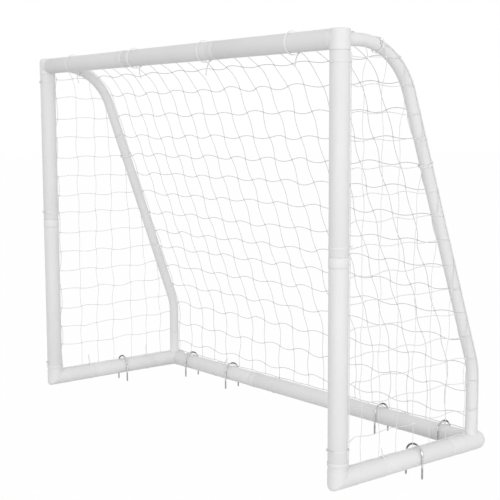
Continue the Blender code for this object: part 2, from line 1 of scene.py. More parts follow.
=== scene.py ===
"""Portable soccer goal, dressed: plastic tubes, moulded corners, wavy netting, cable ties and wire stakes.

Metres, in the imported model's frame. Places are counted from the mouth's middle, at the underside of the
ground bars, and each piece is moved to BASE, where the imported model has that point.
"""
import math
import random

import bmesh
import bpy
import numpy as np
from mathutils import Matrix, Vector


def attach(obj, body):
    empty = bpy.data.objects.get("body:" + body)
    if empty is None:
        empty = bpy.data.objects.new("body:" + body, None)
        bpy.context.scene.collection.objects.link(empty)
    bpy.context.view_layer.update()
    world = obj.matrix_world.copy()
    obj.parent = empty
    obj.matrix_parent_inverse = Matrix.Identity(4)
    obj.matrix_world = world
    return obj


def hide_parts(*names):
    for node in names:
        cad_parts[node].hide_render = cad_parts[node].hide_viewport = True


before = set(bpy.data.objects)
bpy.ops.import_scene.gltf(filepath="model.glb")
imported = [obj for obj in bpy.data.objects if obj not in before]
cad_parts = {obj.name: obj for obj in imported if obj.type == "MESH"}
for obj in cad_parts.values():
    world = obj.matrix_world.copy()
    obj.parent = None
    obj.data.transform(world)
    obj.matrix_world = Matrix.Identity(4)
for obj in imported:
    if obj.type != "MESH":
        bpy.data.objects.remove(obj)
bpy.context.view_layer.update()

BASE = Vector((0.0, -0.357658, 0.037))

# Camera, worked out from the ends, edges and joints of the tubes in the photograph.
CAMERA_PLACE = Vector((3.4061, -2.3628, 1.1869))
CAMERA_YAW = -0.8886
CAMERA_PITCH = 0.1145
CAMERA_ROLL = 0.0038
CAMERA_LENS = 76.6
CAMERA_SENSOR = 36.0

# Frame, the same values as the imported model's.
HALF_SPAN = 0.950
CROSSBAR_HEIGHT = 1.465
BASE_DEPTH = 0.680
TUBE_RADIUS = 0.034
TUBE_WALL = 0.0025
STAY_RADIUS = 0.022
FIT_GAP = 0.0003
CORNER_LEG = 0.036
TOP_STAY_LEG = 0.060
ELBOW_RISE = 0.048
ELBOW_LEG = 0.200
REAR_SIDE_LEG = 0.135
STAY_RISER = 0.126
SPIGOT_LENGTH = 0.060
STAY_SPIGOT_LENGTH = 0.024
BAR_Z = TUBE_RADIUS
POST_JOINT_Z = (BAR_Z + ELBOW_RISE + CROSSBAR_HEIGHT - CORNER_LEG) / 2
RIB_WIDTH = 0.034
BAR_JOINT_X = 0.304

# Surfaces, as the photograph shows them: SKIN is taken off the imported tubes' radius, and a rise is added.
# An edge is cut back by its own size at the end face, and by EASE of it half-way.
SKIN = 0.0007
RIB_RISE = 0.0001
FITTING_RISE = 0.0003
FLUSH_RISE = 0.0004 - SKIN
TUBE_EDGE = 0.0010
FLUSH_EDGE = 0.0003
FITTING_EDGE = 0.0005
EASE = 0.3

# Corners: how far each leg runs past the middle and how round it is there, and how they are blended.
CAP_ROUNDING = {"left": 0.015, "right": 0.003}
CAP_HEIGHT = {"left": 0.034, "right": 0.031}
RIDGE_REACH = {"left": 0.0, "right": 0.018}
ELBOW_ROUNDING = 0.011
REAR_STUB = 0.060
STUB_ROUNDING = 0.033
ROUNDING_STEPS = 8
SADDLE_RINGS = 24
BLEND_REACH = TUBE_RADIUS + 0.016
BLEND_OVERLAP = 0.006
VOXEL = 0.0014
SOFTNESS = 0.5
SMOOTHING = 9
CUT_MERGE = 0.00001

# The elbow's lip, as radius and distance pairs, counted from the tube's surface and the leg's shoulder.
LIP = ((-0.0004, 0.0003), (0.0007, 0.0003), (0.0013, 0.0015), (0.0013, 0.0115), (0.0007, 0.0130),
       (-0.0004, 0.0130))
# The groove under the lip, counted from the fitting's surface and the leg's shoulder.
NECK_DEPTH = 0.0130
NECK = ((0.0, 0.0004 - NECK_DEPTH), (-0.0024, 0.0010 - NECK_DEPTH), (-0.0002, -0.0004), (-0.0006, 0.0))
# A long leg's collar, counted from the tube's surface and COLLAR_REACH.
COLLAR_REACH = 0.078
COLLAR = ((FITTING_RISE, -0.004), (FITTING_RISE + 0.0004, -0.002), (FITTING_RISE, -0.0006))

# Stay: a bend back from the top corner, a straight slope, and a bend down to the rear corner.
STAY_STRAIGHT = 0.086
STAY_BEND_RADIUS = 0.250
STAY_SLOPE = math.radians(70)
STAY_JOINTS = (0.546, 1.116)
STAY_END_Z = -0.01
STAY_STEP = 0.012
PATH_STEP = 0.002
AHEAD = 0.001

# Smoothness of round pieces, and the length that a texture takes to repeat along a wire or a cord.
TUBE_SEGMENTS = 72
STAY_SEGMENTS = 48
WIRE_SEGMENTS = 16
CORD_SEGMENTS = 7
WIRE_PITCH = 0.03
CORD_PITCH = 0.012

# A fold sharper than CREASE is drawn crisp; a direction with more x than NEARLY_ALONG counts as along x.
CREASE = math.radians(38)
NEARLY_ALONG = 0.9

# Finishes: each noise is a scale per metre and a detail, each bump a height and a strength.
PLASTIC_BLUE = 0.002
PLASTIC_CLOUD = (5.0, 4.0)
PLASTIC_SHADE = 0.965
PLASTIC_GRAIN = (1400.0, 2.0)
PLASTIC_RIPPLE = (22.0, 2.0)
PLASTIC_SCUFFS = (60.0, 5.0)
PLASTIC_SPECULAR = 0.22
GLOSS_SPREAD = (-0.06, 0.08)
GRAIN_BUMP = (0.00004, 0.6)
RIPPLE_BUMP = (0.0005, 0.35)
TWIST_SCALE = 3 * math.pi / 5
TWINE_FIBRE = (2500.0, 3.0)
TWINE_BUMP = (0.0006, 1.0)
TWINE_ROUGHNESS = 0.82
TWINE_SHEEN = 0.15
SPANGLE_SCALE = 220.0
STEEL_CLOUD = (90.0, 4.0)
STEEL_GLOSS = (0.22, 0.42)
STEEL_BUMP = (0.00015, 0.5)
# The bend's tones are a painted dark reflection over the arch's top; the feet's tones are simply darker.
STEEL_TONES = {"legs": ((0.40, 0.404, 0.408), (0.74, 0.748, 0.755)),
               "feet": ((0.22, 0.223, 0.226), (0.42, 0.425, 0.43)),
               "bend": ((0.08, 0.082, 0.085), (0.22, 0.225, 0.23))}
CLOUD_RANGE = (0.3, 0.7)
SCUFF_RANGE = (0.25, 0.75)
MIXED_RANGE = (0.05, 0.45)
BEND_FADE = 0.004

SIDES = (("left", -1), ("right", 1))
UP = Vector((0, 0, 1))
BACK = Vector((0, 1, 0))
RIGHT = Vector((1, 0, 0))


def add_object(name, data):
    """An object in the scene."""
    item = bpy.data.objects.new(name, data)
    bpy.context.scene.collection.objects.link(item)
    return item


def add_camera():
    """The photograph's view."""
    level = Vector((math.sin(CAMERA_YAW), math.cos(CAMERA_YAW), 0.0))
    forward = level * math.cos(CAMERA_PITCH) - UP * math.sin(CAMERA_PITCH)
    right = Vector((math.cos(CAMERA_YAW), -math.sin(CAMERA_YAW), 0.0))
    down = forward.cross(right)
    turned_right = right * math.cos(CAMERA_ROLL) + down * math.sin(CAMERA_ROLL)
    turned_down = down * math.cos(CAMERA_ROLL) - right * math.sin(CAMERA_ROLL)
    data = bpy.data.cameras.new("photo_camera")
    data.sensor_fit = "HORIZONTAL"
    data.sensor_width = CAMERA_SENSOR
    data.lens = CAMERA_LENS
    camera = add_object("photo_camera", data)
    turn = Matrix((turned_right, -turned_down, -forward)).transposed().to_4x4()
    camera.matrix_world = Matrix.Translation(BASE + CAMERA_PLACE) @ turn
    bpy.context.scene.camera = camera


def add_node(tree, kind, inputs=None, **settings):
    """A node with its settings; an input is a value or another node's output."""
    node = tree.nodes.new(kind)
    for key, value in settings.items():
        setattr(node, key, value)
    for key, value in (inputs or {}).items():
        if isinstance(value, bpy.types.NodeSocket):
            tree.links.new(value, node.inputs[key])
        else:
            node.inputs[key].default_value = value
    return node


class Material:
    """A node material with the few helpers that the finishes below share."""

    def __init__(self, name):
        self.data = bpy.data.materials.new(name)
        self.data.use_nodes = True
        self.tree = self.data.node_tree
        self.shader = self.tree.nodes["Principled BSDF"]
        place = self.node("ShaderNodeTexCoord")
        self.coordinates, self.along = place.outputs["Object"], place.outputs["UV"]

    def node(self, kind, inputs=None, **settings):
        """A node of this material."""
        return add_node(self.tree, kind, inputs, **settings)

    def noise(self, scale, detail):
        """Noise in object coordinates."""
        inputs = {"Vector": self.coordinates, "Scale": scale, "Detail": detail}
        return self.node("ShaderNodeTexNoise", inputs).outputs["Fac"]

    def product(self, first, second):
        """One value times another."""
        return self.node("ShaderNodeMath", {0: first, 1: second}, operation="MULTIPLY").outputs[0]

    def ramp(self, source, limits, first, last):
        """A ramp between two greys or colours."""
        node = self.node("ShaderNodeValToRGB", {"Fac": source})
        for element, place, value in zip(node.color_ramp.elements, limits, (first, last)):
            element.position = place
            element.color = (*value, 1.0) if isinstance(value, tuple) else (value, value, value, 1.0)
        return node.outputs["Color"]

    def step(self, source, low, high):
        """From 0 to 1, as the source goes from low to high."""
        return self.node("ShaderNodeMapRange", {0: source, 1: low, 2: high}).outputs[0]

    def bump(self, height, distance, strength, normal=None):
        """A bump of a height in metres."""
        inputs = {"Height": height, "Distance": distance, "Strength": strength}
        if normal is not None:
            inputs["Normal"] = normal
        return self.node("ShaderNodeBump", inputs).outputs["Normal"]

    def connect(self, **outputs):
        """Outputs to the shader's sockets; Base_Color stands for Base Color."""
        for key, value in outputs.items():
            self.tree.links.new(value, self.shader.inputs[key.replace("_", " ")])
        return self.data


def moulded_plastic(name, tone, roughness):
    """White plastic: faint clouds of tone, uneven gloss, soft ripples and a fine grain."""
    m = Material(name)
    light = (tone, tone, tone + PLASTIC_BLUE)
    shade = tuple(PLASTIC_SHADE * value for value in light)
    color = m.ramp(m.noise(*PLASTIC_CLOUD), CLOUD_RANGE, shade, light)
    gloss = m.ramp(m.noise(*PLASTIC_SCUFFS), SCUFF_RANGE, *(roughness + change for change in GLOSS_SPREAD))
    ripple = m.bump(m.noise(*PLASTIC_RIPPLE), *RIPPLE_BUMP)
    grain = m.bump(m.noise(*PLASTIC_GRAIN), *GRAIN_BUMP, ripple)
    m.shader.inputs["Specular IOR Level"].default_value = PLASTIC_SPECULAR
    return m.connect(Base_Color=color, Roughness=gloss, Normal=grain)


def twine(name, crown, groove_shade):
    """Three-strand twine: a twist along the cord, with painted shade between the strands."""
    m = Material(name)
    wave = m.node("ShaderNodeTexWave", {"Vector": m.along, "Scale": TWIST_SCALE}, wave_type="BANDS",
                  bands_direction="DIAGONAL").outputs["Fac"]
    mixed = m.product(wave, m.noise(*TWINE_FIBRE))
    # The groove colour is painted shade between the strands.
    color = m.ramp(mixed, MIXED_RANGE, groove_shade, crown)
    m.shader.inputs["Roughness"].default_value = TWINE_ROUGHNESS
    m.shader.inputs["Sheen Weight"].default_value = TWINE_SHEEN
    return m.connect(Base_Color=color, Normal=m.bump(wave, *TWINE_BUMP))


def galvanised(name, reflection_from, reflection_to):
    """Zinc on wire: grey spangle, uneven gloss, darker feet, and a painted dark reflection over the top of
    the bend.
    """
    m = Material(name)
    spangle = m.node("ShaderNodeTexVoronoi", {"Vector": m.coordinates, "Scale": SPANGLE_SCALE})
    cloud = m.noise(*STEEL_CLOUD)
    mixed = m.product(spangle.outputs["Distance"], cloud)
    along = m.node("ShaderNodeSeparateXYZ", {0: m.along}).outputs["Y"]
    color = m.ramp(mixed, MIXED_RANGE, *STEEL_TONES["legs"])
    # Darker feet at both tips, and a painted dark reflection over the top of the bend.
    for low, high, part in ((-STAKE_LENGTH, STAKE_FOOT, "feet"), (reflection_from, reflection_to, "bend"),
                            (STAKE_LENGTH - STAKE_FOOT, 2 * STAKE_LENGTH, "feet")):
        rise = m.step(along, (low - BEND_FADE) / WIRE_PITCH, (low + BEND_FADE) / WIRE_PITCH)
        fall = m.step(along, (high + BEND_FADE) / WIRE_PITCH, (high - BEND_FADE) / WIRE_PITCH)
        mix = m.node("ShaderNodeMix", {"Factor": m.product(rise, fall)}, data_type="RGBA")
        m.tree.links.new(color, mix.inputs["A"])
        m.tree.links.new(m.ramp(mixed, MIXED_RANGE, *STEEL_TONES[part]), mix.inputs["B"])
        color = mix.outputs["Result"]
    gloss = m.ramp(cloud, CLOUD_RANGE, *STEEL_GLOSS)
    m.shader.inputs["Metallic"].default_value = 1.0
    return m.connect(Base_Color=color, Roughness=gloss, Normal=m.bump(cloud, *STEEL_BUMP))


def crisp(mesh):
    """The mesh, made smooth apart from its sharper folds."""
    mesh.shade_smooth()
    mesh.set_sharp_from_angle(angle=CREASE)
    return mesh


def joined(name, shells):
    """One mesh of closed shells: their points, faces and perhaps a texture place for every corner."""
    faces, places, count = [], [], 0
    for points, sides, *texture in shells:
        faces += [[index + count for index in face] for face in sides]
        places += texture[0] if texture else [(0.0, 0.0)] * sum(len(face) for face in sides)
        count += len(points)
    mesh = bpy.data.meshes.new(name)
    mesh.from_pydata(np.concatenate([shell[0] for shell in shells]).tolist(), [], faces)
    mesh.uv_layers.new(name="along").data.foreach_set("uv", np.asarray(places, float).ravel())
    return crisp(mesh)


def add_piece(name, mesh, material, nodes=(), body="frame"):
    """A piece of the goal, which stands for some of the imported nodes."""
    piece = add_object(name, mesh)
    piece.location = BASE
    mesh.materials.append(material)
    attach(piece, body)
    if nodes:
        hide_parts(*nodes)


def square_to(direction):
    """Two unit vectors square to a direction."""
    helper = RIGHT if abs(direction.x) < NEARLY_ALONG else BACK
    first = direction.cross(helper).normalized()
    return first, direction.cross(first).normalized()


def bands(rings, closed=False):
    """The faces between each ring of points and the next; a ring of one repeated point gives triangles."""
    faces = []
    for lower, upper in zip(rings, rings[1:] + rings[:1] if closed else rings[1:]):
        quads = zip(lower, lower[1:] + lower[:1], upper[1:] + upper[:1], upper)
        faces += [list(dict.fromkeys(quad)) for quad in quads]
    return faces


def numbered(count, size):
    """Rings of points, numbered in order."""
    return [list(range(index * size, (index + 1) * size)) for index in range(count)]


def ends(rings):
    """The faces that close the first and the last ring."""
    return [rings[0][::-1], rings[-1]]


def revolve(start, direction, profile, closed=False):
    """A turned shell; its profile is radius and distance pairs, and closes on itself or ends on the axis."""
    first, second = square_to(direction)
    points, rings = [], []
    for radius, distance in profile:
        centre = start + direction * distance
        if radius == 0.0:
            rings.append([len(points)] * TUBE_SEGMENTS)
            points.append(centre)
            continue
        rings.append(list(range(len(points), len(points) + TUBE_SEGMENTS)))
        for step in range(TUBE_SEGMENTS):
            angle = 2 * math.pi * step / TUBE_SEGMENTS
            points.append(centre + (first * math.cos(angle) + second * math.sin(angle)) * radius)
    return points, bands(rings, closed)


def sweep(line, radii, segments, pitch=WIRE_PITCH):
    """A round tube along a line of points; its texture runs along and round it."""
    line = np.asarray(line, float)
    count = len(line)
    tangents = np.gradient(line, axis=0)
    tangents /= np.linalg.norm(tangents, axis=1)[:, None]
    side = np.array(square_to(Vector(tangents[0]))[0])
    angles = 2 * math.pi * np.arange(segments) / segments
    radii = np.broadcast_to(radii, count)
    points = np.empty((count, segments, 3))
    for index, (centre, tangent) in enumerate(zip(line, tangents)):
        side = side - tangent * side.dot(tangent)
        side /= np.linalg.norm(side)
        other = np.cross(tangent, side)
        ring = np.outer(np.cos(angles), side) + np.outer(np.sin(angles), other)
        points[index] = centre + ring * radii[index]
    steps = np.linalg.norm(np.diff(line, axis=0), axis=1)
    along = np.concatenate(([0.0], np.cumsum(steps))) / pitch
    places = []
    for low, high in zip(along, along[1:]):
        for step in range(segments):
            first, last = step / segments, (step + 1) / segments
            places += [(first, low), (last, low), (last, high), (first, high)]
    places += [(0.0, 0.0)] * (2 * segments)
    rings = numbered(count, segments)
    return points.reshape(-1, 3), bands(rings) + ends(rings), places


class StayPath:
    """The line of a stay's axis in the y, z plane, with its distance counted from the plane of the posts."""

    def __init__(self):
        self.centre = Vector((STAY_STRAIGHT, CROSSBAR_HEIGHT - STAY_BEND_RADIUS))
        self.slope = Vector((math.cos(STAY_SLOPE), -math.sin(STAY_SLOPE)))
        self.bend_end = self.centre + STAY_BEND_RADIUS * Vector((math.sin(STAY_SLOPE), math.cos(STAY_SLOPE)))
        foot_turn = math.pi / 2 - STAY_SLOPE
        corner = self.bend_end + self.slope * ((BASE_DEPTH - self.bend_end.x) / self.slope.x)
        foot_start = corner - self.slope * (STAY_BEND_RADIUS * math.tan(foot_turn / 2))
        inward = Vector((-math.sin(STAY_SLOPE), -math.cos(STAY_SLOPE)))
        self.foot_centre = foot_start + STAY_BEND_RADIUS * inward
        self.lengths = (STAY_STRAIGHT, STAY_BEND_RADIUS * STAY_SLOPE, (foot_start - self.bend_end).length,
                        STAY_BEND_RADIUS * foot_turn)
        self.marks = np.arange(0.0, self.distance_at_height(STAY_END_Z), PATH_STEP)
        self.points = np.array([self.at(mark)[0] for mark in self.marks])
        self.normals = np.array([self.at(mark)[1] for mark in self.marks])

    def at(self, distance):
        """The point at a distance, and the direction away from the goal's inside there."""
        straight, bend, slope, foot = self.lengths
        if distance <= straight:
            return Vector((distance, CROSSBAR_HEIGHT)), Vector((0, 1))
        distance -= straight
        if distance <= bend:
            angle = distance / STAY_BEND_RADIUS
            outward = Vector((math.sin(angle), math.cos(angle)))
            return self.centre + STAY_BEND_RADIUS * outward, outward
        distance -= bend
        if distance <= slope:
            return self.bend_end + self.slope * distance, Vector((-self.slope.y, self.slope.x))
        distance -= slope
        if distance <= foot:
            angle = STAY_SLOPE + distance / STAY_BEND_RADIUS
            outward = Vector((math.sin(angle), math.cos(angle)))
            return self.foot_centre + STAY_BEND_RADIUS * outward, outward
        return self.foot_centre + Vector((STAY_BEND_RADIUS, foot - distance)), Vector((1, 0))

    def distance_at_height(self, height):
        """How far along the line its last, upright stretch comes down to a height."""
        return sum(self.lengths) + self.foot_centre.y - height

    def nearest(self, y, z):
        """The distance along the line nearest a place, and how far inside the line the place is."""
        offsets = np.array((y, z)) - self.points
        index = int(np.argmin((offsets ** 2).sum(axis=1)))
        return self.marks[index], -float(offsets[index].dot(self.normals[index]))


STAY = StayPath()


def eased(outer, place, inward):
    """A tube's eased edge, as radius and distance pairs from its end face to its surface."""
    return [(outer - TUBE_EDGE, place), (outer - EASE * TUBE_EDGE, place + inward * EASE * TUBE_EDGE),
            (outer, place + inward * TUBE_EDGE)]


def tube(name, start, end, material):
    """A hollow main tube between two shoulders, with its edges eased."""
    direction = (end - start).normalized()
    length = (end - start).length - FIT_GAP
    inner, outer = TUBE_RADIUS - TUBE_WALL, TUBE_RADIUS - SKIN
    profile = ([(inner, FIT_GAP)] + eased(outer, FIT_GAP, 1) + eased(outer, length, -1)[::-1]
               + [(inner, length)])
    mesh = joined(name, [revolve(start, direction, profile, closed=True)])
    add_piece(name + "_smooth", mesh, material, [name])


def coupling(name, centre, direction, material):
    """The rib that shows between two tubes, with its sleeve inside them."""
    half = RIB_WIDTH / 2
    reach = half + SPIGOT_LENGTH
    sleeve = TUBE_RADIUS - TUBE_WALL - FIT_GAP
    first = [(0.0, -reach), (sleeve, -reach), (sleeve, -half)] + eased(TUBE_RADIUS + RIB_RISE, -half, 1)
    last = [(radius, -distance) for radius, distance in reversed(first)]
    mesh = joined(name, [revolve(centre, direction, first + last)])
    add_piece(name + "_smooth", mesh, material, [name])


def saddle_shell(radius, end):
    """An upright leg that ends below in the round underside of its bar, and is rounded at the front."""
    points = []
    for ring in range(SADDLE_RINGS + 1):
        reach = radius * (ring + 1) / (SADDLE_RINGS + 1)
        for step in range(TUBE_SEGMENTS):
            angle = 2 * math.pi * step / TUBE_SEGMENTS
            x, y = reach * math.cos(angle), reach * math.sin(angle)
            rim = max(0.0, (reach - radius + ELBOW_ROUNDING) / ELBOW_ROUNDING)
            lift = ELBOW_ROUNDING * (1 - math.sqrt(1 - rim ** 2)) * max(0.0, -y / reach)
            points.append(Vector((x, y, lift - math.sqrt(max(0.0, radius ** 2 - x ** 2)))))
    points += [Vector((*point.xy, end)) for point in points[-TUBE_SEGMENTS:]]
    rings = numbered(SADDLE_RINGS + 2, TUBE_SEGMENTS)
    return points, bands(rings) + ends(rings)


def leg_shell(direction, radius, start, end, rounding):
    """A solid leg of a fitting, rounded at its start where asked."""
    profile = [(0.0, start)]
    if rounding:
        for step in range(ROUNDING_STEPS + 1):
            angle = math.pi / 2 * step / ROUNDING_STEPS
            inward, along = 1 - math.sin(angle), 1 - math.cos(angle)
            profile.append((radius - rounding * inward, start + rounding * along))
    else:
        profile.append((radius, start))
    profile += [(radius, end), (0.0, end)]
    return revolve(Vector((0, 0, 0)), direction, profile)


def end_rings(radius, start, shoulder, spigot):
    """A leg's end as radius and distance pairs: an eased edge, a neck or a collar, then the spigot."""
    outer, sleeve = radius + FITTING_RISE, radius - TUBE_WALL - FIT_GAP
    rings = [(outer, shoulder - FITTING_EDGE), (outer - FITTING_EDGE, shoulder)]
    if start is None:
        rings = [(outer + rise, shoulder + place) for rise, place in NECK]
    if shoulder > COLLAR_REACH and radius == TUBE_RADIUS:
        rings = [(radius + rise, COLLAR_REACH + place) for rise, place in COLLAR]
        flush = radius + FLUSH_RISE
        rings += [(flush, COLLAR_REACH), (flush, shoulder - FLUSH_EDGE), (flush - FLUSH_EDGE, shoulder)]
    return rings + [(sleeve, shoulder), (sleeve, shoulder + spigot)]


def blended(legs):
    """The legs' shells joined into one body, with soft corners between them."""
    shells = []
    for direction, radius, start, rounding, shoulder, spigot in legs:
        end = min(shoulder, BLEND_REACH) + BLEND_OVERLAP
        if start is None:
            shells.append(saddle_shell(radius + FITTING_RISE, end))
        else:
            shells.append(leg_shell(direction, radius + FITTING_RISE, start, end, rounding))
    rough = add_object("rough", joined("rough", shells))
    remesh = rough.modifiers.new("join", "REMESH")
    remesh.mode = "VOXEL"
    remesh.voxel_size = VOXEL
    soften = rough.modifiers.new("soften", "SMOOTH")
    soften.factor = SOFTNESS
    soften.iterations = SMOOTHING
    evaluated = rough.evaluated_get(bpy.context.evaluated_depsgraph_get())
    body = bmesh.new()
    body.from_mesh(evaluated.to_mesh())
    evaluated.to_mesh_clear()
    bpy.data.objects.remove(rough)
    return body


def only(kind, items):
    """The items of one kind."""
    return [item for item in items if isinstance(item, kind)]


def fitting(name, centre, legs, material):
    """A moulded corner: its legs run softly into each other, and each ends in a shoulder and a spigot.

    A leg is its direction, radius, start, rounding, shoulder and spigot length; a start of None is a saddle.
    """
    body = blended(legs)
    for direction, radius, start, rounding, shoulder, spigot in legs:
        cut = min(shoulder, BLEND_REACH) - (NECK_DEPTH if start is None else FITTING_EDGE)
        everything = body.verts[:] + body.edges[:] + body.faces[:]
        result = bmesh.ops.bisect_plane(body, geom=everything, plane_co=direction * cut, plane_no=direction,
                                        clear_outer=True, dist=CUT_MERGE)
        rim = only(bmesh.types.BMEdge, result["geom_cut"])
        for ring_radius, distance in end_rings(radius, start, shoulder, spigot):
            extruded = bmesh.ops.extrude_edge_only(body, edges=rim)["geom"]
            rim = only(bmesh.types.BMEdge, extruded)
            for vertex in only(bmesh.types.BMVert, extruded):
                flat = vertex.co - direction * vertex.co.dot(direction)
                vertex.co = flat.normalized() * ring_radius + direction * distance
        bmesh.ops.contextual_create(body, geom=rim)
    bmesh.ops.recalc_face_normals(body, faces=body.faces)
    bmesh.ops.translate(body, verts=body.verts, vec=centre)
    mesh = bpy.data.meshes.new(name)
    body.to_mesh(mesh)
    body.free()
    add_piece(name + "_smooth", crisp(mesh), material, [name])


def make_fittings(material):
    """The six corners."""
    for label, side in SIDES:
        inward = RIGHT * -side
        main, branch = (TUBE_RADIUS, -CAP_HEIGHT[label], CAP_ROUNDING[label]), (TUBE_RADIUS, 0.0, 0.0)
        ridge = (TUBE_RADIUS, -RIDGE_REACH[label], RIDGE_REACH[label])
        stub = (TUBE_RADIUS, -REAR_STUB, STUB_ROUNDING)
        stay = (STAY_RADIUS - SKIN, 0.0, 0.0)
        top = [(-UP, *main, CORNER_LEG, SPIGOT_LENGTH), (inward, *ridge, CORNER_LEG, SPIGOT_LENGTH),
               (BACK, *stay, TOP_STAY_LEG, STAY_SPIGOT_LENGTH)]
        fitting("top_corner_" + label, Vector((side * HALF_SPAN, 0, CROSSBAR_HEIGHT)), top, material)
        foot = Vector((side * HALF_SPAN, 0, BAR_Z))
        elbow = [(UP, TUBE_RADIUS, None, 0.0, ELBOW_RISE, SPIGOT_LENGTH),
                 (BACK, *branch, ELBOW_LEG, SPIGOT_LENGTH)]
        fitting("front_elbow_" + label, foot, elbow, material)
        profile = [(TUBE_RADIUS + rise, ELBOW_RISE + height) for rise, height in LIP]
        lip = joined("lip", [revolve(foot, UP, profile, closed=True)])
        add_piece("front_elbow_%s_lip" % label, lip, material)
        rear = [(-BACK, *stub, REAR_SIDE_LEG, SPIGOT_LENGTH), (inward, *branch, CORNER_LEG, SPIGOT_LENGTH),
                (UP, *stay, STAY_RISER, STAY_SPIGOT_LENGTH)]
        fitting("rear_corner_" + label, Vector((side * HALF_SPAN, BASE_DEPTH, BAR_Z)), rear, material)


def stay_tube(name, side, start, end, material):
    """One tube of a stay, with its edges eased."""
    start, end = start + FIT_GAP, end - FIT_GAP
    steps = max(2, round((end - start) / STAY_STEP))
    marks = [start, start + EASE * FLUSH_EDGE, start + FLUSH_EDGE]
    marks += [start + FLUSH_EDGE + (end - start - 2 * FLUSH_EDGE) * i / steps for i in range(1, steps)]
    marks += [end - FLUSH_EDGE, end - EASE * FLUSH_EDGE, end]
    outer = STAY_RADIUS - SKIN
    radii = [outer] * len(marks)
    radii[0] = radii[-1] = outer - FLUSH_EDGE
    radii[1] = radii[-2] = outer - EASE * FLUSH_EDGE
    line = [(side * HALF_SPAN, *STAY.at(mark)[0]) for mark in marks]
    mesh = joined(name, [sweep(line, radii, STAY_SEGMENTS)])
    add_piece(name + "_smooth", mesh, material, [name])


def make_tubes(materials):
    """Posts, bars and stays; the crossbar and its ribs are painted darker, as painted shade, and the ground
    bars lighter, as painted light.
    """
    half_rib = RIB_WIDTH / 2
    for label, side in SIDES:
        x = side * HALF_SPAN
        bottom, top = Vector((x, 0, BAR_Z + ELBOW_RISE)), Vector((x, 0, CROSSBAR_HEIGHT - CORNER_LEG))
        joint = Vector((x, 0, POST_JOINT_Z))
        tube("post_%s_lower" % label, bottom, joint - UP * half_rib, materials["post"])
        tube("post_%s_upper" % label, joint + UP * half_rib, top, materials["post"])
        coupling("post_%s_coupling" % label, joint, UP, materials["rib"])
        front, rear = Vector((x, ELBOW_LEG, BAR_Z)), Vector((x, BASE_DEPTH - REAR_SIDE_LEG, BAR_Z))
        tube("side_bar_" + label, front, rear, materials["bar"])
        marks = (TOP_STAY_LEG, *STAY_JOINTS, STAY.distance_at_height(BAR_Z + STAY_RISER))
        for part, low, high in zip(("upper", "middle", "lower"), marks, marks[1:]):
            stay_tube("stay_%s_%s" % (label, part), side, low, high, materials["post"])
    reach = HALF_SPAN - CORNER_LEG
    for label, y, z, kind, rib in (("crossbar", 0.0, CROSSBAR_HEIGHT, "crossbar", "crossbar_rib"),
                                   ("rear_bar", BASE_DEPTH, BAR_Z, "bar", "rib")):
        joints = (-reach, -BAR_JOINT_X, BAR_JOINT_X, reach)
        for number, (low, high) in enumerate(zip(joints, joints[1:]), start=1):
            first = low if number == 1 else low + half_rib
            last = high if number == 3 else high - half_rib
            name = "%s_tube_%d" % (label, number)
            tube(name, Vector((first, y, z)), Vector((last, y, z)), materials[kind])
        for number, x in enumerate(joints[1:-1], start=1):
            coupling("%s_coupling_%d" % (label, number), Vector((x, y, z)), RIGHT, materials[rib])


add_camera()
fitting_plastic = moulded_plastic("fitting_plastic", 0.87, 0.42)
# One white plastic: the crossbar's tubes and ribs are painted darker as painted shade, the ground bars
# lighter as painted light.
make_tubes({"post": moulded_plastic("tube_plastic", 0.845, 0.38),
            "bar": moulded_plastic("ground_bar_lit_plastic", 0.88, 0.38),
            "crossbar": moulded_plastic("crossbar_shaded_plastic", 0.82, 0.38),
            "rib": fitting_plastic,
            "crossbar_rib": moulded_plastic("crossbar_rib_shaded_plastic", 0.835, 0.42)})
make_fittings(fitting_plastic)

# Netting's cords: their radii, their turns at the knots, row first, and the random share of both.
TWINE_RADIUS = 0.00125
EDGE_RADIUS = 1.15 * TWINE_RADIUS
EDGE_STEP = 0.011
COLUMN_THINNESS = 0.82
KNOT_SWELL = 0.75
KNOT_REACH = 0.0035
BACK_TURNS = (math.radians(17), math.radians(14))
SIDE_TURNS = (math.radians(9), math.radians(8))
KNOT_JITTER = 0.0028
TURN_JITTER = math.radians(4)
BACK_SEED = 11
SIDE_SEEDS = {"left": 20, "right": 22}
CELL_STEPS = (0.0, 0.03, 0.07, 0.14, 0.28, 0.42, 0.58, 0.72, 0.86, 0.93, 0.97)

# Netting's edge on the stays: between the two WRAP_TURN marks its angle goes from the first to the second.
STAY_CORD_RADIUS = 0.0021
STAY_CORD_START = 0.160
WRAP_RADIUS = STAY_RADIUS - SKIN + 0.0002 + STAY_CORD_RADIUS
WRAP_ANGLES = (math.radians(112), math.radians(68))
WRAP_TURN = (0.12, 0.20)
ROOF_WRAP = math.radians(15)

# Netting's rows and columns, measured in the photograph; the back's rows are counted along the stays.
BACK_ROWS = (0.055, 0.160, 0.264, 0.359, 0.458, 0.562, 0.656, 0.749, 0.852, 0.956, 1.052, 1.141, 1.241,
             1.346, 1.446, 1.543, 1.640)
BACK_COLUMNS = tuple(-0.936 + 0.0968 * i for i in range(20))
COLUMN_START = 0.012
LOWEST_ROW = {"left": 0.177, "right": 0.159}
SIDE_ROWS = (0.266, 0.351, 0.438, 0.528, 0.615, 0.704, 0.796, 0.880, 0.966, 1.054, 1.144, 1.232, 1.322,
             1.410)
SIDE_COLUMNS = {"left": (0.0485, 0.145, 0.236, 0.322, 0.423, 0.510, 0.598),
                "right": (0.106, 0.192, 0.277, 0.363, 0.449, 0.536, 0.622)}
KNOT_MARGIN = 0.012
SEARCH_STEP = 0.0005
SIDE_RAMP = 0.12
TOP_LEAN = 0.45
LEAN_DEPTH = 0.2

